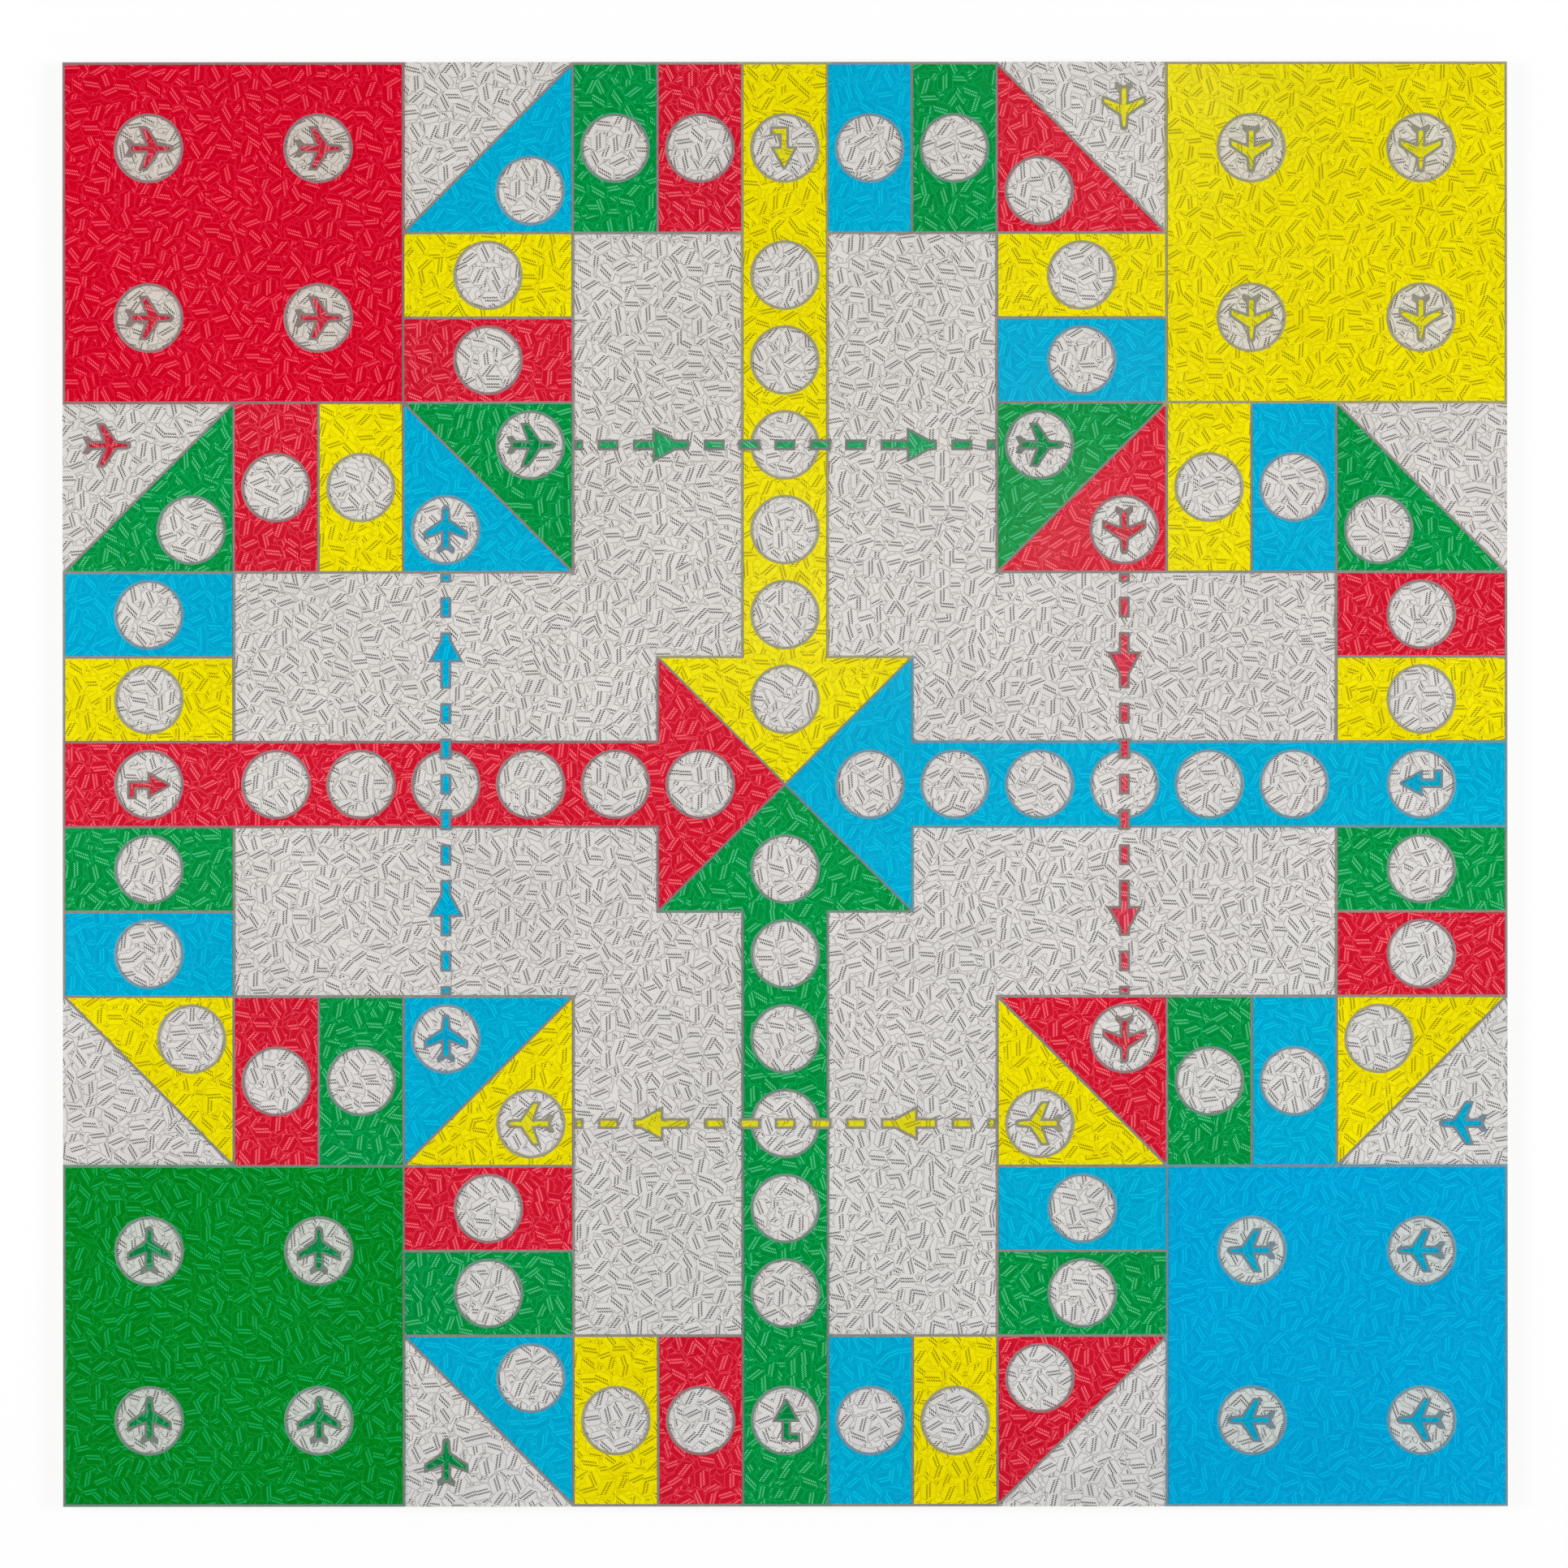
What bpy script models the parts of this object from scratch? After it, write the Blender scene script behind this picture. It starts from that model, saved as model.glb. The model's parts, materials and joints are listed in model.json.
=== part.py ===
# Aeroplane chess board: a flat square game panel with a layered cut-paper face
import math

import bpy
from mathutils import Matrix, Vector

for leftover in list(bpy.data.objects):
    bpy.data.objects.remove(leftover)

# Layout grid, counted right (u) and down (v) from the top left corner, in units
GRID_UNITS = 17
UNIT = 0.047
LINE_WIDTH = 0.0015
BOARD_SIDE = GRID_UNITS * UNIT + LINE_WIDTH

# Round stations: the pale disc shows through the mat, whose rim shows as a ring.
# The mat's window is drawn round the disc, so that no side of it cuts into the disc.
DISC_RADIUS = 0.01785
RING_RADIUS = 0.0193
CIRCLE_POINTS = 18
MAT_WINDOW_RADIUS = DISC_RADIUS / math.cos(math.pi / CIRCLE_POINTS)

# Layers from the floor up, with a thin bed of glue under each one
GLUE_BED = 0.0001
BACK_THICKNESS = 0.0004
CORE_THICKNESS = 0.0090
GROUND_THICKNESS = 0.0004
MAT_THICKNESS = 0.0002
PIECE_THICKNESS = 0.0002

CORE_BOTTOM = BACK_THICKNESS + GLUE_BED
GROUND_BOTTOM = CORE_BOTTOM + CORE_THICKNESS + GLUE_BED
MAT_BOTTOM = GROUND_BOTTOM + GROUND_THICKNESS + GLUE_BED
PIECE_BOTTOM = MAT_BOTTOM + MAT_THICKNESS + GLUE_BED

# The four players, clockwise from the top, and the side that each one plays from
COLOURS = ("yellow", "blue", "green", "red")
SIDES = ("top", "right", "bottom", "left")

# Display colours of the papers and boards in 8-bit sRGB, with their roughness
FINISHES = {
    "yellow": ((229, 215, 8), 0.38),
    "blue": ((2, 164, 213), 0.38),
    "green": ((6, 140, 52), 0.38),
    "red": ((214, 24, 52), 0.38),
    "pale": ((206, 201, 197), 0.42),
    "grey": ((134, 130, 128), 0.45),
    "fibre": ((146, 118, 88), 0.75),
    "back": ((172, 168, 162), 0.70),
}


def linear(channel):
    value = channel / 255
    if value <= 0.04045:
        return value / 12.92
    return ((value + 0.055) / 1.055) ** 2.4


def make_material(name, colour, roughness):
    material = bpy.data.materials.new(name)
    material.use_nodes = True
    shader = material.node_tree.nodes["Principled BSDF"]
    shader.inputs["Base Color"].default_value = (*[linear(c) for c in colour], 1)
    shader.inputs["Roughness"].default_value = roughness
    shader.inputs["Metallic"].default_value = 0
    return material


board = bpy.data.collections.new("aeroplane_chess_board")
bpy.context.scene.collection.children.link(board)
materials = {name: make_material(name, *finish) for name, finish in FINISHES.items()}


def turned(point, quarter):
    # One quarter turn clockwise carries (u, v) to (GRID_UNITS - v, u)
    u, v = point
    for _ in range(quarter):
        u, v = GRID_UNITS - v, u
    return u, v


def placed(points, quarter):
    # Grid points of the top quarter, turned to their side, in metres from the centre
    middle = GRID_UNITS / 2
    spots = [turned(point, quarter) for point in points]
    return [Vector(((u - middle) * UNIT, (middle - v) * UNIT)) for u, v in spots]


def rectangle(left, top, right, bottom):
    return [(left, top), (right, top), (right, bottom), (left, bottom)]


def centre(points):
    return tuple(sum(values) / len(points) for values in zip(*points))


def square_corner_spot(points):
    # A quarter of each leg in from the triangle's right angle, which is listed first
    (u, v), (u1, v1), (u2, v2) = points
    return u + (u1 + u2 - 2 * u) / 4, v + (v1 + v2 - 2 * v) / 4


def grown(outline, distance):
    # Every edge moves outwards by the distance, and neighbours meet in a mitre
    count = len(outline)
    twice_area = sum(outline[k - 1].cross(outline[k]) for k in range(count))
    outwards = 1 if twice_area > 0 else -1
    normals = []
    for k in range(count):
        along = (outline[(k + 1) % count] - outline[k]).normalized()
        normals.append(Vector((along.y, -along.x)) * outwards)
    mitres = [(normals[k - 1] + normals[k]) / (1 + normals[k - 1].dot(normals[k])) for k in range(count)]
    return [corner + mitre * distance for corner, mitre in zip(outline, mitres)]


def circle(middle, radius):
    step = math.tau / CIRCLE_POINTS
    return [middle + Matrix.Rotation(k * step, 2) @ Vector((radius, 0)) for k in range(CIRCLE_POINTS)]


def panel(name, bottom, thickness, finish):
    bpy.ops.mesh.primitive_cube_add(size=1)
    slab = bpy.context.object
    slab.name = name
    slab.data.transform(Matrix.Diagonal((BOARD_SIDE, BOARD_SIDE, thickness, 1)))
    slab.location.z = bottom + thickness / 2
    slab.data.materials.append(materials[finish])
    for holder in list(slab.users_collection):
        holder.objects.unlink(slab)
    board.objects.link(slab)


def cut_sheet(name, outlines, bottom, thickness, finish):
    # The first outline is the sheet's edge and the others are its cut-outs
    sheet = bpy.data.curves.new(name, "CURVE")
    sheet.dimensions = "2D"
    sheet.fill_mode = "BOTH"
    sheet.extrude = thickness / 2
    for outline in outlines:
        spline = sheet.splines.new("POLY")
        spline.points.add(len(outline) - 1)
        for point, corner in zip(spline.points, outline):
            point.co = (corner.x, corner.y, 0, 1)
        spline.use_cyclic_u = True
    sheet.materials.append(materials[finish])
    piece = bpy.data.objects.new(name, sheet)
    piece.location.z = bottom + thickness / 2
    board.objects.link(piece)


# Home field of the top quarter, with the four stations where its planes wait
HOME = rectangle(13, 0, 17, 4)
HOME_SPOTS = [(u, v) for u in (14, 16) for v in (1, 3)]

# Home lane of the top quarter: a strip one unit wide that ends in an arrowhead
LANE = [(8, 0), (9, 0), (9, 7), (10, 7), (8.5, 8.5), (7, 7), (8, 7)]
LANE_SPOTS = [(8.5, 1)] + [(8.5, 2.5 + step) for step in range(6)]

# Track cells of the top quarter, clockwise after the lane: rectangles and half squares
TRACK = [
    rectangle(9, 0, 10, 2),
    rectangle(10, 0, 11, 2),
    [(11, 2), (11, 0), (13, 2)],
    rectangle(11, 2, 13, 3),
    rectangle(11, 3, 13, 4),
    [(11, 4), (13, 4), (11, 6)],
    [(13, 6), (11, 6), (13, 4)],
    rectangle(13, 4, 14, 6),
    rectangle(14, 4, 15, 6),
    [(15, 6), (15, 4), (17, 6)],
    rectangle(15, 6, 17, 7),
    rectangle(15, 7, 17, 8),
]

# Pale field between the top and right lanes, and the mat's edge along the top side,
# which steps in round the two pale half squares beside the track
FIELD = [(9, 2), (11, 2), (11, 6), (15, 6), (15, 8), (10, 8), (10, 7), (9, 7)]
TOP_EDGE = [(0, 0), (4, 0), (4, 2), (6, 0), (11, 0), (13, 2), (13, 0)]


def cell_spot(outline):
    if len(outline) == 3:
        return square_corner_spot(outline)
    return centre(outline)


def coloured_piece(name, outline, spots, quarter, colour):
    edge = grown(placed(outline, quarter), -LINE_WIDTH / 2)
    windows = [circle(spot, RING_RADIUS) for spot in placed(spots, quarter)]
    cut_sheet(name, [edge] + windows, PIECE_BOTTOM, PIECE_THICKNESS, colour)


# Backing, core and pale ground run under the whole face
panel("back_sheet", 0, BACK_THICKNESS, "back")
panel("core_panel", CORE_BOTTOM, CORE_THICKNESS, "fibre")
panel("ground_sheet", GROUND_BOTTOM, GROUND_THICKNESS, "pale")

# One grey mat carries every coloured piece and shows between them as lines and rings
mat_edge = []
mat_cuts = []
track_spots = [cell_spot(outline) for outline in TRACK]
for quarter in range(4):
    mat_edge += placed(TOP_EDGE, quarter)
    mat_cuts.append(grown(placed(FIELD, quarter), -LINE_WIDTH / 2))
    for spot in placed(HOME_SPOTS + LANE_SPOTS + track_spots, quarter):
        mat_cuts.append(circle(spot, MAT_WINDOW_RADIUS))
cut_sheet("outline_mat", [grown(mat_edge, LINE_WIDTH / 2)] + mat_cuts, MAT_BOTTOM, MAT_THICKNESS, "grey")

# Coloured pieces: the track's colours follow each other clockwise round the board
for quarter, side in enumerate(SIDES):
    own = COLOURS[quarter]
    coloured_piece("home_" + own, HOME, HOME_SPOTS, quarter, own)
    coloured_piece("lane_" + own, LANE, LANE_SPOTS, quarter, own)
    for step, outline in enumerate(TRACK, start=1):
        kind = "corner" if len(outline) == 3 else "cell"
        colour = COLOURS[(quarter + step) % len(COLOURS)]
        coloured_piece(f"{kind}_{side}_{step:02d}", outline, [cell_spot(outline)], quarter, colour)
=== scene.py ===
import json
import math

import bpy
import numpy as np
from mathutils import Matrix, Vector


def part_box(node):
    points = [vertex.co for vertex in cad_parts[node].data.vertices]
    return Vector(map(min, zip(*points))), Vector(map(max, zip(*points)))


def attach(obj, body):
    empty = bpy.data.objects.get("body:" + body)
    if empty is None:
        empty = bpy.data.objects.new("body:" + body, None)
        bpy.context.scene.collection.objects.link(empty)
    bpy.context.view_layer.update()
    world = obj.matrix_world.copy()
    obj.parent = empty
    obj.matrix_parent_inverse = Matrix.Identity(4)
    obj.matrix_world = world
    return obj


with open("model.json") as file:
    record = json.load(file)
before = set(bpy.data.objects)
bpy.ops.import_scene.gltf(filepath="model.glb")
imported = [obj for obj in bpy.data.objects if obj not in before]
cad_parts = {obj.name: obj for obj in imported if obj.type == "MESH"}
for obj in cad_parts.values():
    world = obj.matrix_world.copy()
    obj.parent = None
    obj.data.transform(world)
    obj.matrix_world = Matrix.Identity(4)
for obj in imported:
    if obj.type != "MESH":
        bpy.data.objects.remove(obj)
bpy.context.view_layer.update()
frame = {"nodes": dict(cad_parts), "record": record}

scene = bpy.context.scene
print("frame loaded:", len(frame["nodes"]), "nodes")

# the layout's grid, the levels that rings and signs lie on, and the quarters' colours clockwise from the
# upper right
grid = {"units": 17, "lineWidth": 0.0015}
millimetre = 0.001
groundLow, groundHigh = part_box("ground_sheet")
groundTop = groundHigh.z
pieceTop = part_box("home_red")[1].z
boardSide = groundHigh.x - groundLow.x
unit = (boardSide - grid["lineWidth"]) / grid["units"]
colours = ("yellow", "blue", "green", "red")
quarters = len(colours)


def boardPoint(right, down):
    # grid place counted right and down from the top left corner, as a complex number x + iy in metres
    middle = grid["units"] / 2
    return ((np.asarray(right) - middle) - 1j * (np.asarray(down) - middle)) * unit


def quarterTurn(points, quarter):
    # one quarter turn clockwise multiplies by -i
    return np.asarray(points) * (-1j) ** quarter


# mesh building from whole arrays. A rounded corner has these points, and takes this part of an edge at most
rounding = {"points": 5, "edgePart": 0.45}


def roundCorners(corners, reach):
    # each corner becomes a parabola between the points one reach before and after it
    corners = np.asarray(corners, complex)
    before = np.roll(corners, 1) - corners
    after = np.roll(corners, -1) - corners
    cut = np.minimum(reach, rounding["edgePart"] * np.minimum(abs(before), abs(after)))
    start = (corners + before / abs(before) * cut)[:, None]
    finish = (corners + after / abs(after) * cut)[:, None]
    s = np.linspace(0, 1, rounding["points"])
    return ((1 - s) ** 2 * start + 2 * s * (1 - s) * corners[:, None] + s ** 2 * finish).ravel()


def grownOutline(outline, distance):
    # every edge moves outwards along its normal, and neighbours meet in a mitre
    edge = np.roll(outline, -1) - outline
    normal = -1j * edge / abs(edge)
    before = np.roll(normal, 1)
    return outline + distance * (before + normal) / (1 + (before * normal.conj()).real)


def mirrored(half):
    # the half outline from front to back on the left side, and its mirror image back to the front
    half = np.asarray(half)
    return np.concatenate([half, half[::-1].conj()])


def raised(flat, height):
    # places x + iy and their heights as rows of x, y and z
    height = np.broadcast_to(height, flat.shape)
    return np.stack([flat.real, flat.imag, height], axis=-1).reshape(-1, 3)


def stickers(outline, places, headings, floors, height, bevel):
    # the outline turned to each heading and set at each place, raised from its floor to its height,
    # with the top edge drawn in by the bevel: three stacked loops, walls between them, and two caps
    places, headings = np.broadcast_arrays(np.atleast_1d(places), headings)
    floors = np.broadcast_to(floors, places.shape)
    loops = np.stack([outline, outline, grownOutline(outline, -bevel)])
    levels = np.array([0, height - bevel, height])
    flat = places[:, None, None] + headings[:, None, None] * loops
    index = np.arange(flat.size).reshape(flat.shape)
    ahead = np.roll(index, -1, axis=2)
    walls = np.stack([index[:, :-1], ahead[:, :-1], ahead[:, 1:], index[:, 1:]], axis=-1)
    points = raised(flat, floors[:, None, None] + levels[None, :, None])
    return points, [walls.reshape(-1, 4), index[:, -1], index[:, 0, ::-1]]


def turnedRings(places, profile, segments):
    # the profile's (radius, height) loop carried once round each place
    angle = np.exp(2j * np.pi * np.arange(segments) / segments)
    radius, height = np.asarray(profile).T
    flat = np.asarray(places)[:, None, None] + angle[None, :, None] * radius
    index = np.arange(flat.size).reshape(flat.shape)
    ahead = np.roll(index, -1, axis=1)
    quads = np.stack([index, ahead, np.roll(ahead, -1, axis=2), np.roll(index, -1, axis=2)], axis=-1)
    return raised(flat, height), [quads.reshape(-1, 4)]


def addPiece(name, parts, material, sharpAngle=None):
    # the parts' points and arrays of faces joined in one mesh, which rides on the board. With an angle
    # given, in degrees, edges below it are shaded smooth
    points = np.concatenate([some for some, _ in parts])
    starts = np.cumsum([0] + [len(some) for some, _ in parts])
    faces = []
    for (_, arrays), start in zip(parts, starts):
        for array in arrays:
            faces += (array + start).tolist()
    mesh = bpy.data.meshes.new(name)
    mesh.from_pydata(points.tolist(), [], faces)
    mesh.materials.append(material)
    mesh.update()
    if sharpAngle is not None:
        mesh.shade_smooth()
        mesh.set_sharp_from_angle(angle=math.radians(sharpAngle))
    piece = bpy.data.objects.new(name, mesh)
    scene.collection.objects.link(piece)
    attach(piece, "root")


# shader building: a value may be a plain one or another node's socket
def feed(tree, socket, value):
    if isinstance(value, bpy.types.NodeSocket):
        tree.links.new(value, socket)
    else:
        socket.default_value = value


def calc(tree, operation, *values):
    node = tree.nodes.new("ShaderNodeMath")
    node.operation = operation
    for socket, value in zip(node.inputs, values):
        feed(tree, socket, value)
    return node.outputs[0]


def vectorCalc(tree, operation, *values, scale=None):
    node = tree.nodes.new("ShaderNodeVectorMath")
    node.operation = operation
    for socket, value in zip(node.inputs, values):
        feed(tree, socket, value)
    if scale is not None:
        feed(tree, node.inputs["Scale"], scale)
    return node.outputs["Value" if operation in ("DOT_PRODUCT", "LENGTH") else "Vector"]


def axesOf(tree, vector):
    node = tree.nodes.new("ShaderNodeSeparateXYZ")
    feed(tree, node.inputs[0], vector)
    return node.outputs


def blendColour(tree, factor, first, second):
    node = tree.nodes.new("ShaderNodeMix")
    node.data_type = "RGBA"
    for socket, value in zip((0, 6, 7), (factor, first, second)):  # the node's colour sockets
        feed(tree, node.inputs[socket], value)
    return node.outputs[2]


def blendValue(tree, factor, first, second):
    node = tree.nodes.new("ShaderNodeMix")
    for socket, value in zip((0, 2, 3), (factor, first, second)):  # the node's value sockets
        feed(tree, node.inputs[socket], value)
    return node.outputs[0]


def spread(tree, value, low, high, outLow, outHigh):
    node = tree.nodes.new("ShaderNodeMapRange")
    for socket, number in zip(node.inputs, (value, low, high, outLow, outHigh)):
        feed(tree, socket, number)
    return node.outputs[0]


def noise(tree, point, scale, detail=2.0, roughness=0.5):
    node = tree.nodes.new("ShaderNodeTexNoise")
    feed(tree, node.inputs["Vector"], point)
    feed(tree, node.inputs["Scale"], scale)
    feed(tree, node.inputs["Detail"], detail)
    feed(tree, node.inputs["Roughness"], roughness)
    return node.outputs["Fac"]


def makeGroup(name, takes, gives):
    tree = bpy.data.node_groups.new(name, "ShaderNodeTree")
    for label, kind in takes.items():
        tree.interface.new_socket(label, in_out="INPUT", socket_type="NodeSocket" + kind)
    for label, kind in gives.items():
        tree.interface.new_socket(label, in_out="OUTPUT", socket_type="NodeSocket" + kind)
    start = tree.nodes.new("NodeGroupInput")
    end = tree.nodes.new("NodeGroupOutput")
    return tree, start.outputs, end.inputs


def closeGroup(tree, gives, **values):
    for label, value in values.items():
        feed(tree, gives[label], value)
    return tree


def placeGroup(tree, group, **values):
    node = tree.nodes.new("ShaderNodeGroup")
    node.node_tree = group
    for label, value in values.items():
        feed(tree, node.inputs[label], value)
    return node.outputs


def linear(colour):
    # 8-bit sRGB to linear light
    value = np.array(colour) / 255
    light = np.where(value <= 0.04045, value / 12.92, ((value + 0.055) / 1.055) ** 2.4)
    return (*light.tolist(), 1.0)


# paper chips: small six-sided tags, each with a thin rim and two leaning rows of lozenges, strewn in layers.
# Lengths are parts of the spacing, and the rim's limits parts of the way out to the edge. Each layer is the
# same lattice with its own shift, lowest first
chips = {
    "spacing": 0.0112, "looseness": 0.92,
    "halfLength": 0.575, "halfWidth": 0.415, "endSlant": 0.5,
    "rimFrom": 0.86, "rimTo": 0.95,
    "markStep": 0.112, "markHalfLength": 0.05, "markHalfHeight": 0.064,
    "rowStep": 0.15, "rowHalfLength": 0.36, "rowLean": 0.7,
    "layerShifts": ((5.743, -3.319, 0.0), (-2.291, 4.417, 0.0), (3.137, 1.731, 0.0), (0.0, 0.0, 0.0)),
}


def buildChipLayer():
    # one chip to each cell of a scattered lattice, turned by the cell's own random angle. In the chip's axes
    # its six-sided edge is where the larger of |y|/width and (|x| + |y| times the slant)/length is one
    tree, takes, gives = makeGroup(
        "chipLayer", {"Point": "Vector"},
        {"Inside": "Float", "Rim": "Float", "Marks": "Float", "Shade": "Float"})
    cells = tree.nodes.new("ShaderNodeTexVoronoi")
    cells.voronoi_dimensions = "2D"
    feed(tree, cells.inputs["Vector"], takes["Point"])
    feed(tree, cells.inputs["Scale"], 1.0)
    feed(tree, cells.inputs["Randomness"], chips["looseness"])
    dice = tree.nodes.new("ShaderNodeSeparateColor")
    feed(tree, dice.inputs[0], cells.outputs["Color"])
    fromCentre = vectorCalc(tree, "SUBTRACT", takes["Point"], cells.outputs["Position"])
    turn = tree.nodes.new("ShaderNodeVectorRotate")
    turn.rotation_type = "Z_AXIS"
    feed(tree, turn.inputs["Vector"], fromCentre)
    feed(tree, turn.inputs["Angle"], calc(tree, "MULTIPLY", dice.outputs[0], 2 * math.pi))
    x, y, _ = axesOf(tree, turn.outputs[0])
    along = calc(tree, "ABSOLUTE", x)
    across = calc(tree, "ABSOLUTE", y)
    slanted = calc(tree, "MULTIPLY_ADD", across, chips["endSlant"], along)
    toEnd = calc(tree, "DIVIDE", slanted, chips["halfLength"])
    reach = calc(tree, "MAXIMUM", calc(tree, "DIVIDE", across, chips["halfWidth"]), toEnd)
    inside = calc(tree, "LESS_THAN", reach, 1.0)
    rim = calc(tree, "MULTIPLY", calc(tree, "GREATER_THAN", reach, chips["rimFrom"]),
               calc(tree, "LESS_THAN", reach, chips["rimTo"]))
    # lozenges: the distances along and across from the nearest mark, in parts of its half length and half
    # height, add up to less than one. The rows lean, shifted along x in proportion to y
    leant = calc(tree, "ABSOLUTE", calc(tree, "MULTIPLY_ADD", y, chips["rowLean"], x))
    fromMark = calc(tree, "PINGPONG", leant, chips["markStep"] / 2)
    fromRow = calc(tree, "ABSOLUTE", calc(tree, "SUBTRACT", across, chips["rowStep"] / 2))
    markReach = calc(tree, "ADD", calc(tree, "DIVIDE", fromMark, chips["markHalfLength"]),
                     calc(tree, "DIVIDE", fromRow, chips["markHalfHeight"]))
    marks = calc(tree, "MULTIPLY", calc(tree, "LESS_THAN", markReach, 1.0),
                 calc(tree, "LESS_THAN", leant, chips["rowHalfLength"]))
    return closeGroup(tree, gives, Inside=inside, Rim=rim, Marks=marks, Shade=dice.outputs[1])


def buildChipPaper():
    # chip layers laid over one another: each layer shows where no chip above it covers it
    tree, takes, gives = makeGroup(
        "chipPaper", {"Point": "Vector", "Shift": "Vector"},
        {"Rim": "Float", "Marks": "Float", "Shade": "Float", "Height": "Float"})
    layer = buildChipLayer()
    moved = vectorCalc(tree, "ADD", takes["Point"], takes["Shift"])
    cells = vectorCalc(tree, "SCALE", moved, scale=1 / chips["spacing"])
    shown = {"Rim": 0.0, "Marks": 0.0, "Shade": 0.0, "Height": 0.0}
    for count, shift in enumerate(chips["layerShifts"], 1):
        chip = placeGroup(tree, layer, Point=vectorCalc(tree, "ADD", cells, shift))
        cover = {"Rim": chip["Rim"], "Marks": chip["Marks"], "Shade": chip["Shade"],
                 "Height": count / len(chips["layerShifts"])}
        for label in shown:
            shown[label] = blendValue(tree, chip["Inside"], shown[label], cover[label])
    return closeGroup(tree, gives, **shown)


# paper grain: scales in features to the metre, tones as parts of the colour, gloss in roughness. The middle
# part of each noise, between its limits, fills the tone or gloss. A painted warm light, standing in for warm
# light that falls on the top of the board, grows slowly along a direction, between two distances from the
# board's middle
grain = {
    "broad": {"scale": 9.0, "detail": 3.0}, "broadTone": 0.035,
    "fine": {"scale": 900.0, "detail": 2.0, "roughness": 0.6}, "fineTone": 0.05,
    "patches": {"scale": 28.0, "detail": 3.0}, "patchGloss": (-0.03, 0.05),
    "wave": {"scale": 16.0, "detail": 1.0, "roughness": 0.4},
    "noiseLimits": (0.3, 0.7),
    "paintedLightDirection": (-0.3, 1.0, 0.0), "paintedLightLimits": (-0.38, 0.42),
}


def buildPaperGrain():
    # slow unevenness of the coating and fine grain, as a tone about zero, a gloss, two heights and a share of
    # painted warm light
    tree, takes, gives = makeGroup(
        "paperGrain", {"Point": "Vector"},
        {"Tone": "Float", "Gloss": "Float", "Height": "Float", "Wave": "Float", "Age": "Float"})
    point = takes["Point"]
    limits = grain["noiseLimits"]
    broad = noise(tree, point, **grain["broad"])
    fine = noise(tree, point, **grain["fine"])
    patches = noise(tree, point, **grain["patches"])
    wave = noise(tree, point, **grain["wave"])
    tone = calc(tree, "ADD", spread(tree, broad, *limits, -grain["broadTone"], grain["broadTone"]),
                spread(tree, fine, *limits, -grain["fineTone"], grain["fineTone"]))
    gloss = spread(tree, patches, *limits, *grain["patchGloss"])
    # painted warm light: its share grows toward the top of the board, a little to the left
    along = vectorCalc(tree, "DOT_PRODUCT", point, grain["paintedLightDirection"])
    paintedLight = spread(tree, along, *grain["paintedLightLimits"], 0.0, 1.0)
    return closeGroup(tree, gives, Tone=tone, Gloss=gloss, Height=fine, Wave=wave, Age=paintedLight)


# rubbed edges: how far the rubbing reaches from the board's edges and how uneven it is, in metres
rub = {"reach": 0.0011, "uneven": 0.0012, "noise": {"scale": 260.0, "detail": 3.0, "roughness": 0.6}}


def buildEdgeRub():
    # of a surface point's distances to the board's sides, ends and faces one is nought, so the second
    # smallest is its distance to the nearest edge. The mask falls from one to nought over the reach, shifted
    # by noise
    tree, takes, gives = makeGroup("edgeRub", {"Point": "Vector"}, {"Mask": "Float"})
    x, y, z = axesOf(tree, takes["Point"])
    middle = pieceTop / 2
    fromSide = calc(tree, "SUBTRACT", boardSide / 2, calc(tree, "ABSOLUTE", x))
    fromEnd = calc(tree, "SUBTRACT", boardSide / 2, calc(tree, "ABSOLUTE", y))
    fromMiddle = calc(tree, "ABSOLUTE", calc(tree, "SUBTRACT", z, middle))
    fromFace = calc(tree, "SUBTRACT", middle, fromMiddle)
    nearer = calc(tree, "MINIMUM", fromSide, fromEnd)
    farther = calc(tree, "MAXIMUM", fromSide, fromEnd)
    second = calc(tree, "MAXIMUM", nearer, calc(tree, "MINIMUM", farther, fromFace))
    uneven = noise(tree, takes["Point"], **rub["noise"])
    shifted = calc(tree, "MULTIPLY_ADD", uneven, rub["uneven"], second)
    start = rub["uneven"] / 2
    return closeGroup(tree, gives, Mask=spread(tree, shifted, start, start + rub["reach"], 1.0, 0.0))


# fields by their distance from the board's axes, in grid units, with the lines round them
fields = {"homeFrom": 4.45, "laneTo": 0.55, "headTo": 1.55}


def buildFieldTint():
    # the colour of the home or lane that a place lies in. Homes are where the smaller of |x| and |y| is
    # large, and each fills a quadrant. Lanes are where it is small, or both are as near as the arrowheads,
    # and they fill the quadrants of axes turned by an eighth
    tree, takes, gives = makeGroup(
        "fieldTint", {"Point": "Vector", **{colour.capitalize(): "Color" for colour in colours}},
        {"Colour": "Color", "Home": "Float", "Lane": "Float"})
    x, y, _ = axesOf(tree, takes["Point"])
    fromUpright = calc(tree, "ABSOLUTE", x)
    fromLevel = calc(tree, "ABSOLUTE", y)
    nearer = calc(tree, "MINIMUM", fromUpright, fromLevel)
    farther = calc(tree, "MAXIMUM", fromUpright, fromLevel)
    home = calc(tree, "GREATER_THAN", nearer, fields["homeFrom"] * unit)
    lane = calc(tree, "MAXIMUM", calc(tree, "LESS_THAN", nearer, fields["laneTo"] * unit),
                calc(tree, "LESS_THAN", farther, fields["headTo"] * unit))
    rightwards = blendValue(tree, home, calc(tree, "ADD", x, y), x)
    upwards = blendValue(tree, home, calc(tree, "SUBTRACT", y, x), y)
    right = calc(tree, "GREATER_THAN", rightwards, 0.0)
    upper = blendColour(tree, right, takes["Red"], takes["Yellow"])
    lower = blendColour(tree, right, takes["Green"], takes["Blue"])
    colour = blendColour(tree, calc(tree, "GREATER_THAN", upwards, 0.0), lower, upper)
    return closeGroup(tree, gives, Colour=colour, Home=home, Lane=lane)


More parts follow.
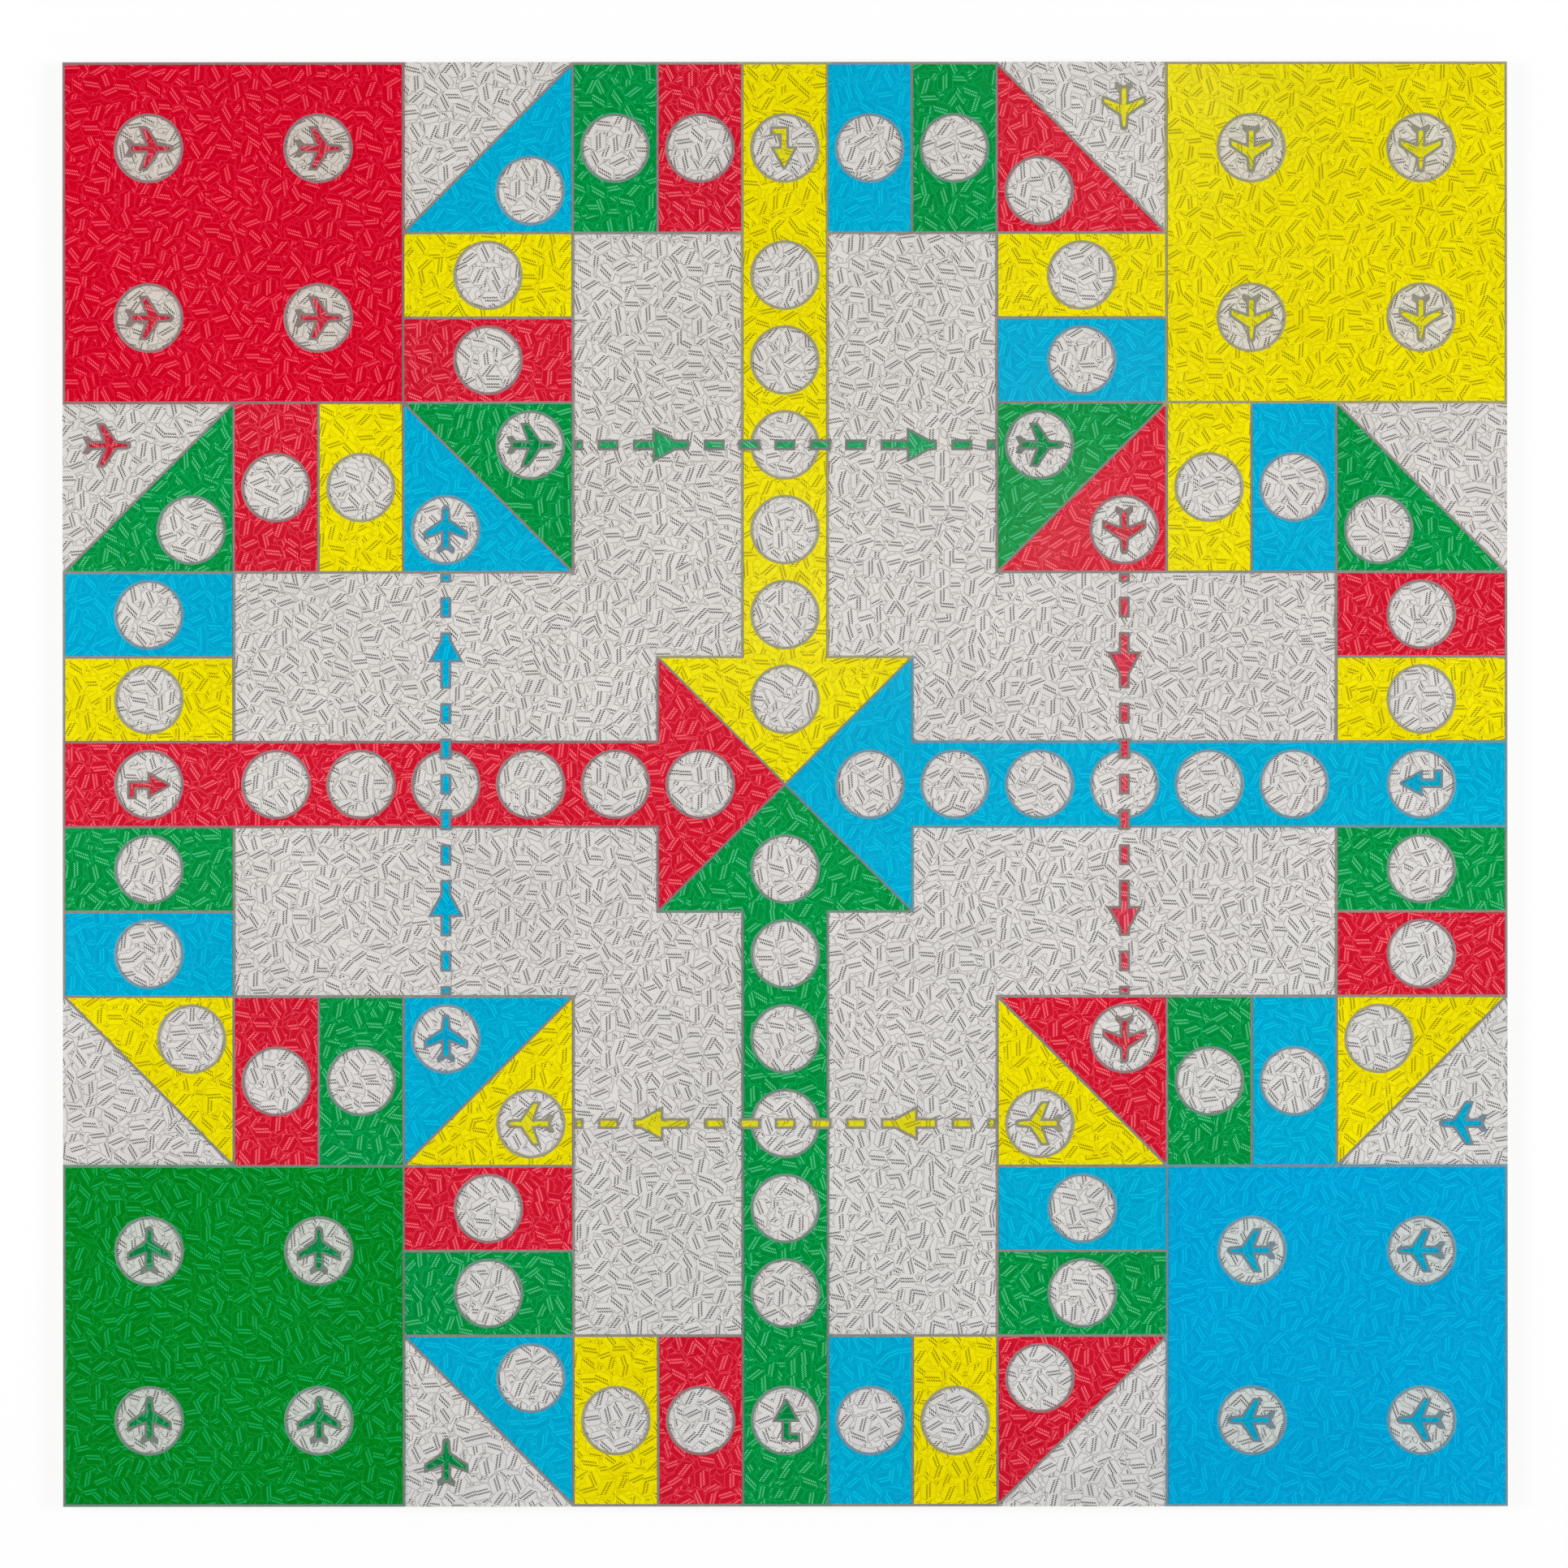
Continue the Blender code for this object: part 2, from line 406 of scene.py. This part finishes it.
chipPaper = buildChipPaper()
paperGrain = buildPaperGrain()
edgeRub = buildEdgeRub()
fieldTint = buildFieldTint()
print("surface groups built")


def startMaterial(name, finish):
    material = bpy.data.materials.new(name)
    material.use_nodes = True
    tree = material.node_tree
    shader = tree.nodes["Principled BSDF"]
    shader.inputs["Roughness"].default_value = finish["roughness"]
    shader.inputs["Specular IOR Level"].default_value = finish["specular"]
    point = tree.nodes.new("ShaderNodeTexCoord").outputs["Object"]
    return material, tree, shader, point


def addBump(tree, shader, height, distance=1.0):
    # the height is in metres, or in parts of the distance
    bump = tree.nodes.new("ShaderNodeBump")
    feed(tree, bump.inputs["Height"], height)
    bump.inputs["Distance"].default_value = distance
    bump.inputs["Strength"].default_value = 1.0
    feed(tree, shader.inputs["Normal"], bump.outputs[0])


def brighten(tree, colour, tone):
    # the colour times one plus the tone
    return vectorCalc(tree, "SCALE", colour, scale=calc(tree, "ADD", tone, 1.0))


# chip papers: sheet colour, darker chips, rims and printed marks in 8-bit sRGB. Three of the homes, the signs
# and two of the flight lines have their own stock
papers = {
    "yellow": {"sheet": (235, 223, 2), "deep": (229, 215, 1), "rim": (208, 192, 6), "marks": (140, 124, 8)},
    "blue": {"sheet": (1, 161, 200), "deep": (0, 154, 195), "rim": (3, 177, 212), "marks": (8, 195, 225)},
    "green": {"sheet": (1, 137, 58), "deep": (0, 131, 53), "rim": (9, 160, 86), "marks": (76, 196, 134)},
    "red": {"sheet": (200, 20, 45), "deep": (195, 14, 40), "rim": (222, 58, 78), "marks": (247, 105, 117)},
    "pale": {"sheet": (216, 214, 212), "deep": (209, 207, 205),
             "rim": (168, 164, 162), "marks": (82, 78, 77)},
    "blueHome": {"sheet": (1, 156, 206), "deep": (0, 150, 201),
                 "rim": (2, 171, 216), "marks": (6, 188, 227)},
    "greenHome": {"sheet": (1, 127, 27), "deep": (1, 121, 23),
                  "rim": (5, 148, 56), "marks": (27, 179, 98)},
    "redHome": {"sheet": (202, 3, 35), "deep": (197, 1, 31),
                "rim": (223, 26, 60), "marks": (248, 80, 101)},
    "yellowSign": {"sheet": (219, 212, 28), "deep": (213, 206, 26),
                   "rim": (199, 189, 28), "marks": (146, 133, 28)},
    "blueSign": {"sheet": (6, 153, 190), "deep": (5, 147, 185),
                 "rim": (9, 169, 201), "marks": (13, 185, 212)},
    "greenSign": {"sheet": (6, 127, 61), "deep": (5, 122, 57),
                  "rim": (18, 150, 89), "marks": (76, 180, 127)},
    "redSign": {"sheet": (189, 37, 56), "deep": (184, 32, 51),
                "rim": (211, 78, 92), "marks": (234, 120, 129)},
    "greenLine": {"sheet": (32, 148, 87), "deep": (30, 142, 83),
                  "rim": (47, 170, 113), "marks": (100, 198, 146)},
    "redLine": {"sheet": (197, 48, 70), "deep": (192, 43, 65),
                "rim": (220, 86, 103), "marks": (244, 130, 139)},
}
# how far each stock's chips are shifted, in metres. Signs and lines share their colour's shift
chipShifts = {
    "yellow": (0.013, 0.007, 0.0), "blue": (0.151, 0.093, 0.0), "green": (0.317, 0.211, 0.0),
    "red": (0.071, 0.433, 0.0), "pale": (0.229, 0.359, 0.0), "blueHome": (0.263, 0.137, 0.0),
    "greenHome": (0.417, 0.051, 0.0), "redHome": (0.031, 0.283, 0.0),
}
# heights in metres. Print lies on faces whose normal points up by more than printSlope
paperFinish = {"roughness": 0.16, "specular": 0.3, "chipStep": 0.00004, "wave": 0.00025, "printSlope": 0.5}
# pale stock takes painted warm light, standing in for warm light on the top of the board, and a tint from
# the colour round it in the homes, as factors of its colour
palePaintedLightAndTint = {
    "paintedWarmLight": (1.0, 0.97, 0.935),
    "homeTints": {"Yellow": (1.0, 0.985, 0.87, 1.0), "Blue": (0.86, 0.94, 0.935, 1.0),
                  "Green": (0.85, 0.92, 0.865, 1.0), "Red": (0.94, 0.9, 0.865, 1.0)},
}


def paintLightOnPale(tree, point, paintedLight, colour):
    # the colour blended by the share of painted warm light to its warmly lit self, and in the homes
    # multiplied by their tint
    warmLit = vectorCalc(tree, "MULTIPLY", colour, palePaintedLightAndTint["paintedWarmLight"])
    warmed = blendColour(tree, paintedLight, colour, warmLit)
    field = placeGroup(tree, fieldTint, Point=point, **palePaintedLightAndTint["homeTints"])
    return blendColour(tree, field["Home"], warmed, vectorCalc(tree, "MULTIPLY", warmed, field["Colour"]))


def paperMaterial(name, look):
    # the print lies on faces that look up, and cut edges show the plain sheet
    material, tree, shader, point = startMaterial(name + "Paper", paperFinish)
    shift = chipShifts[name.removesuffix("Sign").removesuffix("Line")]
    chip = placeGroup(tree, chipPaper, Point=point, Shift=shift)
    paper = placeGroup(tree, paperGrain, Point=point)
    normal = tree.nodes.new("ShaderNodeNewGeometry").outputs["Normal"]
    onTop = calc(tree, "GREATER_THAN", axesOf(tree, normal)[2], paperFinish["printSlope"])
    colour = blendColour(tree, chip["Shade"], linear(look["sheet"]), linear(look["deep"]))
    for mask, tint in ((chip["Rim"], look["rim"]), (chip["Marks"], look["marks"])):
        colour = blendColour(tree, calc(tree, "MULTIPLY", mask, onTop), colour, linear(tint))
    # pale paper gets painted warm light toward the top of the board, and the homes' tint
    if name == "pale":
        colour = paintLightOnPale(tree, point, paper["Age"], colour)
    feed(tree, shader.inputs["Base Color"], brighten(tree, colour, paper["Tone"]))
    feed(tree, shader.inputs["Roughness"], calc(tree, "ADD", paper["Gloss"], paperFinish["roughness"]))
    steps = calc(tree, "MULTIPLY", chip["Height"], paperFinish["chipStep"])
    addBump(tree, shader, calc(tree, "MULTIPLY_ADD", paper["Wave"], paperFinish["wave"], steps))
    return material


# grey cards: plain round the track, and leaning a little towards the colour that a line, ring or sign edges
cards = {
    "grey": (139, 135, 130),
    "yellow": (155, 151, 117), "blue": (110, 142, 156), "green": (109, 135, 122), "red": (144, 115, 117),
    "yellowSign": (141, 139, 120), "blueSign": (108, 130, 140), "greenSign": (113, 124, 115),
    "redSign": (132, 117, 113),
}
cardFinish = {
    "roughness": 0.5, "specular": 0.3, "grainHeight": 0.00003, "rubTone": 0.15,
    "fleck": {"scale": 420.0, "detail": 3.0, "roughness": 0.7}, "fleckLimits": (0.45, 0.75),
    "fleckTone": -0.26,
}


def cardMaterial(name):
    # flecks darken the colour and rubbed edges lighten it
    material, tree, shader, point = startMaterial(name + "Card", cardFinish)
    paper = placeGroup(tree, paperGrain, Point=point)
    flecks = noise(tree, point, **cardFinish["fleck"])
    fleckTone = spread(tree, flecks, *cardFinish["fleckLimits"], 0.0, cardFinish["fleckTone"])
    plainTone = calc(tree, "ADD", fleckTone, paper["Tone"])
    rubbed = placeGroup(tree, edgeRub, Point=point)["Mask"]
    tone = calc(tree, "MULTIPLY_ADD", rubbed, cardFinish["rubTone"], plainTone)
    colour = linear(cards[name])[:3]
    if name == "grey":
        tints = {other.capitalize(): linear(cards[other]) for other in colours}
        field = placeGroup(tree, fieldTint, Point=point, **tints)
        edged = calc(tree, "MAXIMUM", field["Home"], field["Lane"])
        colour = blendColour(tree, edged, linear(cards[name]), field["Colour"])
    feed(tree, shader.inputs["Base Color"], brighten(tree, colour, tone))
    feed(tree, shader.inputs["Roughness"], calc(tree, "ADD", paper["Gloss"], cardFinish["roughness"]))
    addBump(tree, shader, paper["Height"], cardFinish["grainHeight"])
    return material


def stranded(tree, point, look):
    # noise stretched along the strands, and the colour that it blends from the ground's to the strands'
    stretched = vectorCalc(tree, "MULTIPLY", point, look["stretch"])
    strands = noise(tree, stretched, **look["strandNoise"])
    share = spread(tree, strands, *look["strandLimits"], 0.0, 1.0)
    return strands, blendColour(tree, share, linear(look["ground"]), linear(look["strand"]))


# fibreboard core: fine pressed fibres that lie flat, so its grain is longer sideways than high, and darker
# towards both faces
fibre = {
    "ground": (128, 99, 70), "strand": (166, 136, 102), "stretch": (700.0, 700.0, 2100.0),
    "strandNoise": {"scale": 1.0, "detail": 4.0, "roughness": 0.65}, "strandLimits": (0.32, 0.68),
    "skin": (116, 89, 62), "skinDepth": 0.0022, "skinShare": 0.55,
    "rubbed": (182, 155, 122), "rubShare": 0.6,
    "roughness": 0.82, "specular": 0.2, "grainHeight": 0.00012,
}


def fibreMaterial():
    # the skin's share grows from nought at its depth to its full share at either face
    material, tree, shader, point = startMaterial("fibreCore", fibre)
    strands, colour = stranded(tree, point, fibre)
    coreLow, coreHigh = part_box("core_panel")
    middle = (coreLow.z + coreHigh.z) / 2
    face = coreHigh.z - middle
    fromMiddle = calc(tree, "ABSOLUTE", calc(tree, "SUBTRACT", axesOf(tree, point)[2], middle))
    skin = spread(tree, fromMiddle, face - fibre["skinDepth"], face, 0.0, fibre["skinShare"])
    colour = blendColour(tree, skin, colour, linear(fibre["skin"]))
    rubbed = placeGroup(tree, edgeRub, Point=point)["Mask"]
    worn = calc(tree, "MULTIPLY", rubbed, fibre["rubShare"])
    feed(tree, shader.inputs["Base Color"], blendColour(tree, worn, colour, linear(fibre["rubbed"])))
    addBump(tree, shader, strands, fibre["grainHeight"])
    return material


# backing paper: plain, with scattered fibres and rubbed edges
backing = {
    "ground": (184, 179, 170), "strand": (154, 146, 133), "stretch": (260.0, 900.0, 1.0),
    "strandNoise": {"scale": 1.0, "detail": 3.0, "roughness": 0.6}, "strandLimits": (0.56, 0.72),
    "rubbed": (203, 199, 191),
    "roughness": 0.72, "specular": 0.2, "grainHeight": 0.00004,
}


def backingMaterial():
    material, tree, shader, point = startMaterial("backingPaper", backing)
    paper = placeGroup(tree, paperGrain, Point=point)
    _, colour = stranded(tree, point, backing)
    rubbed = placeGroup(tree, edgeRub, Point=point)["Mask"]
    worn = blendColour(tree, rubbed, colour, linear(backing["rubbed"]))
    feed(tree, shader.inputs["Base Color"], brighten(tree, worn, paper["Tone"]))
    addBump(tree, shader, paper["Height"], backing["grainHeight"])
    return material


paperLooks = {name: paperMaterial(name, look) for name, look in papers.items()}
cardLooks = {name: cardMaterial(name) for name in cards}
nodeLooks = {"ground_sheet": paperLooks["pale"], "outline_mat": cardLooks["grey"],
             "core_panel": fibreMaterial(), "back_sheet": backingMaterial()}
slotOf = {entry["node"]: entry["material_slot"] for entry in frame["record"]["subparts"]}
for name, node in frame["nodes"].items():
    look = nodeLooks.get(name) or paperLooks[slotOf[name]]
    if name.startswith("home_"):
        look = paperLooks.get(slotOf[name] + "Home", look)
    node.data.materials.clear()
    node.data.materials.append(look)
print("papers and boards finished")

# station rings: a grey edging with a thin lip over the cut edge of the coloured sheet. Lengths are in metres,
# the angle in degrees
ring = {"inner": 0.01785, "outer": 0.0193, "seat": 0.0189, "lip": 0.00006, "innerBevel": 0.00006,
        "outerBevel": 0.00004, "outerDrop": 0.00003, "segments": 72, "sharpAngle": 40}
# grid places of the first quarter's stations, right and down
stations = {
    "home": ([14, 16, 14, 16], [1, 1, 3, 3]),
    "lane": (8.5, [1, 2.5, 3.5, 4.5, 5.5, 6.5, 7.5]),
    "track": ([9.5, 10.5, 11.5, 12, 12, 11.5, 12.5, 13.5, 14.5, 15.5, 16, 16],
              [1, 1, 1.5, 2.5, 3.5, 4.5, 5.5, 5, 5, 5.5, 6.5, 7.5]),
}
homeSpots, laneSpots, trackSpots = (boardPoint(*places) for places in stations.values())


def ringProfile():
    # (radius, height) once round: out along the disc, up the window's edge, out over the sheet, and back
    # along the bevelled top
    inner = ring["inner"]
    outer = ring["outer"]
    top = pieceTop + ring["lip"]
    return [(inner, groundTop), (ring["seat"], groundTop), (ring["seat"], pieceTop), (outer, pieceTop),
            (outer, top - ring["outerDrop"]), (outer - ring["outerBevel"], top),
            (inner + ring["innerBevel"], top), (inner, top - ring["innerBevel"])]


for count, colour in enumerate(colours):
    # the colours take turns along the track, so a quarter of it holds three of each, one step on in each
    # quarter
    spots = [quarterTurn(homeSpots, count), quarterTurn(laneSpots, count)]
    for quarter in range(quarters):
        spots.append(quarterTurn(trackSpots[(count - quarter - 1) % quarters::quarters], quarter))
    rings = turnedRings(np.concatenate(spots), ringProfile(), ring["segments"])
    addPiece("stationRings" + colour.capitalize(), [rings], cardLooks[colour], ring["sharpAngle"])
print("station rings laid")

# signs: a grey sticker and a coloured one set in from its edge by the margin. Outlines, margin and roundings
# are in millimetres, heights and bevel in metres
sign = {"greyHeight": 0.00012, "colourHeight": 0.00022, "bevel": 0.00003, "margin": 1.45,
        "edgeRounding": 0.65, "coreRounding": 0.4}


def signEdge(outline):
    return roundCorners(outline, sign["edgeRounding"]) * millimetre


def signCore(outline):
    return roundCorners(grownOutline(outline, -sign["margin"]), sign["coreRounding"]) * millimetre


def addSigns(name, colour, shapes, paper):
    # shapes holds outlines of edge and core, with the places, headings and floors of their copies
    bevel = sign["bevel"]
    margins = [stickers(edge, *spots, sign["greyHeight"], bevel) for edge, _, spots in shapes]
    cores = [stickers(core, *spots, sign["colourHeight"], bevel) for _, core, spots in shapes]
    title = name + colour.capitalize()
    addPiece(title + "Margins", margins, cardLooks[colour + "Sign"])
    addPiece(title, cores, paperLooks[paper])


def facingQuarter(quarter):
    return (quarter + quarters // 2) % quarters


# planes: half outlines from nose to tail in millimetres, heading along +x from the station's centre. Besides
# those in the homes, one stands at each start and one at either end of each flight line: grid places, right
# and down
plane = {
    "edgeNose": [13.75 + 1.0j, 12.4 + 2.2j], "coreNose": [13.1 + 0.95j, 12.0 + 2.1j],
    "wing": [5.85 + 2.7j, -0.8 + 12.4j, -5.8 + 12.3j, -2.2 + 2.7j],
    "tail": [-7.7 + 2.7j, -10.15 + 5.2j, -13.4 + 4.65j, -11.05 + 0.05j], "coreEnd": [-10.95 + 2.7j],
    "start": ([12.5], [0.5]), "lineStart": ([12.5], [5.5]), "lineEnd": ([11.5], [4.5]),
}
planeEdge = signEdge(mirrored(plane["edgeNose"] + plane["wing"] + plane["tail"]))
planeCore = signCore(mirrored(plane["coreNose"] + plane["wing"] + plane["coreEnd"]))
homeHeading = -1j
lineHeading = 1
for quarter, colour in enumerate(colours):
    # a flight line runs from the quarter before the facing one into that
    facing = facingQuarter(quarter)
    places = np.concatenate([
        quarterTurn(homeSpots, quarter),
        quarterTurn(boardPoint(*plane["start"]), quarter),
        quarterTurn(boardPoint(*plane["lineEnd"]), facing),
        quarterTurn(boardPoint(*plane["lineStart"]), facing - 1),
    ])
    headings = np.concatenate([
        quarterTurn([homeHeading] * (len(homeSpots) + 1), quarter),
        quarterTurn([lineHeading] * 2, facing),
    ])
    addSigns("planes", colour, [(planeEdge, planeCore, (places, headings, groundTop))], colour + "Sign")

# start arrows: a bent shaft whose short arm lies on the arrow's right, in each lane's first station
arrowOutline = np.array([
    12.0 + 0.4j, -0.95 + 7.5j, -0.95 + 2.35j, -12.1 + 2.35j, -12.1 - 8.15j, -6.75 - 8.15j, -6.75 - 3.05j,
    -0.95 - 3.05j, -0.95 - 8.2j, 12.0 - 1.1j])
for quarter, colour in enumerate(colours):
    spot = (quarterTurn(laneSpots[:1], quarter), quarterTurn([homeHeading], quarter), groundTop)
    shape = (signEdge(arrowOutline), signCore(arrowOutline), spot)
    addSigns("startArrows", colour, [shape], colour + "Sign")

# flight lines: dashes along a line that crosses a lane, numbered from its middle, a grid place. On either
# side two of them join and carry an arrowhead, whose base lies back from a grid line, and the last ends at
# the half square. Sizes are in millimetres, and headAt and endAt in grid units from the middle
dash = {
    "middle": ([8.5], [4.5]), "pitch": 19.6, "length": 11.7, "width": 6.1,
    "plain": (-5, -2, -1, 0, 1, 2, 5), "onLane": (-1, 1), "joined": (3, 4), "last": 6,
    "headWidth": 19.8, "headLength": 12.7, "headBack": 2.95, "headAt": 1.5, "endAt": 2.5,
}
linePapers = {"yellow": "yellowSign", "blue": "blue", "green": "greenLine", "red": "redLine"}


def plainDash(start, finish):
    # a rectangle between two distances along the line
    aside = dash["width"] / 2 * 1j
    return mirrored([finish + aside, start + aside])


def headedDash(start, finish, base):
    # a long dash that swells to an arrowhead from its base on
    half = dash["width"] / 2
    along = np.array([finish, base + dash["headLength"], base, base, start])
    aside = np.array([half, half, dash["headWidth"] / 2, half, half])
    return mirrored(along + 1j * aside)


def lineShapes():
    # (outline, floor) of every sign on one line, in millimetres along its heading from the lane's middle
    half = dash["length"] / 2
    headAt = dash["headAt"] * unit / millimetre
    endAt = (dash["endAt"] * unit - grid["lineWidth"] / 2) / millimetre
    joinedFrom, joinedTo = dash["joined"]
    shapes = []
    for step in dash["plain"]:
        floor = pieceTop if step in dash["onLane"] else groundTop
        shapes.append((plainDash(step * dash["pitch"] - half, step * dash["pitch"] + half), floor))
    for way in (-1, 1):
        reach = sorted((way * (joinedFrom * dash["pitch"] - half), way * (joinedTo * dash["pitch"] + half)))
        shapes.append((headedDash(*reach, way * headAt - dash["headBack"]), groundTop))
        reach = sorted((way * endAt, way * (dash["last"] * dash["pitch"] - half)))
        shapes.append((plainDash(*reach), groundTop))
    return shapes


for quarter in range(quarters):
    # a line has the colour that faces the lane it crosses
    colour = colours[facingQuarter(quarter)]
    middle = quarterTurn(boardPoint(*dash["middle"]), quarter)
    heading = quarterTurn([lineHeading], quarter)
    shapes = [(signEdge(outline), signCore(outline), (middle, heading, floor))
              for outline, floor in lineShapes()]
    addSigns("flightLine", colour, shapes, linePapers[colour])
print("planes, start arrows and flight lines laid")

# white floor: camera, mirror and glass rays see plain white, softened where the board shades it, and far off
# the room's own tone, so that no horizon shows
floorLook = {"size": 40.0, "white": 0.94, "glow": 0.86, "glowFar": 0.957, "near": 0.8, "far": 3.0}


def addFloor():
    # the share of plain white grows from glow to glowFar between the near and far distances
    material = bpy.data.materials.new("studioFloor")
    material.use_nodes = True
    tree = material.node_tree
    tree.nodes.clear()
    out = tree.nodes.new("ShaderNodeOutputMaterial")
    matt = tree.nodes.new("ShaderNodeBsdfDiffuse")
    matt.inputs[0].default_value = (floorLook["white"],) * 3 + (1.0,)
    glow = tree.nodes.new("ShaderNodeEmission")
    path = tree.nodes.new("ShaderNodeLightPath").outputs
    seen = calc(tree, "MAXIMUM", calc(tree, "MAXIMUM", path["Is Camera Ray"], path["Is Glossy Ray"]),
                path["Is Transmission Ray"])
    away = vectorCalc(tree, "LENGTH", tree.nodes.new("ShaderNodeTexCoord").outputs["Object"])
    share = spread(tree, away, floorLook["near"], floorLook["far"], floorLook["glow"], floorLook["glowFar"])
    mix = tree.nodes.new("ShaderNodeMixShader")
    feed(tree, mix.inputs[0], calc(tree, "MULTIPLY", seen, share))
    feed(tree, mix.inputs[1], matt.outputs[0])
    feed(tree, mix.inputs[2], glow.outputs[0])
    feed(tree, out.inputs[0], mix.outputs[0])
    half = floorLook["size"] / 2
    corners = [(-half, -half, 0), (half, -half, 0), (half, half, 0), (-half, half, 0)]
    mesh = bpy.data.meshes.new("studioFloor")
    mesh.from_pydata(corners, [], [(0, 1, 2, 3)])
    mesh.materials.append(material)
    floor = bpy.data.objects.new("studioFloor", mesh)
    scene.collection.objects.link(floor)


# soft light from both sides at copy-stand angles under a dark ceiling, and three faint panels whose
# reflections veil the upper right, in metres, degrees and watts. The room fades from around to overhead
# between two heights of the sky
lamps = {
    "left": {"place": (-2.0, 0.1, 1.75), "size": 1.1, "spread": 98, "watts": 14.4},
    "right": {"place": (2.0, 0.12, 1.75), "size": 1.1, "spread": 98, "watts": 15.0},
    "veilLane": {"place": (0.0, 0.21, 2.4), "size": 0.12, "spread": 180, "watts": 0.12},
    "veilTrack": {"place": (0.29, 0.275, 2.4), "size": 0.14, "spread": 180, "watts": 0.22},
    "veilHome": {"place": (0.4, 0.78, 2.4), "size": 0.12, "spread": 180, "watts": 0.17},
}
room = {"around": 0.96, "overhead": 0.0, "fadeFrom": 0.2, "fadeTo": 0.7}


def addLamp(name, setting):
    # a square panel that faces the board's middle
    light = bpy.data.lights.new(name, "AREA")
    light.shape = "SQUARE"
    light.size = setting["size"]
    light.spread = math.radians(setting["spread"])
    light.energy = setting["watts"]
    lamp = bpy.data.objects.new(name, light)
    lamp.location = setting["place"]
    aim = -lamp.location
    lamp.rotation_euler = aim.to_track_quat("-Z", "Y").to_euler()
    scene.collection.objects.link(lamp)


def addRoom():
    sky = bpy.data.worlds.new("studio")
    sky.use_nodes = True
    tree = sky.node_tree
    height = axesOf(tree, tree.nodes.new("ShaderNodeTexCoord").outputs["Generated"])[2]
    strength = spread(tree, height, room["fadeFrom"], room["fadeTo"], room["around"], room["overhead"])
    backdrop = tree.nodes["Background"]
    backdrop.inputs["Color"].default_value = (1, 1, 1, 1)
    feed(tree, backdrop.inputs["Strength"], strength)
    scene.world = sky


addFloor()
for name, setting in lamps.items():
    addLamp(name, setting)
addRoom()
scene.view_settings.view_transform = "Standard"

# camera straight above the face, framed as the photograph: metres, radians, and the sensor in millimetres
view = {"distance": 2.4, "frameWidth": 0.8687, "aside": (-0.0006, 0.0001), "roll": -0.0006, "sensor": 36.0}
lens = bpy.data.cameras.new("camera")
lens.sensor_width = view["sensor"]
lens.lens = view["sensor"] * view["distance"] / view["frameWidth"]
camera = bpy.data.objects.new("camera", lens)
camera.location = (*view["aside"], pieceTop + view["distance"])
camera.rotation_euler = (0, 0, view["roll"])
scene.collection.objects.link(camera)
scene.camera = camera
print("stage, light and camera set")
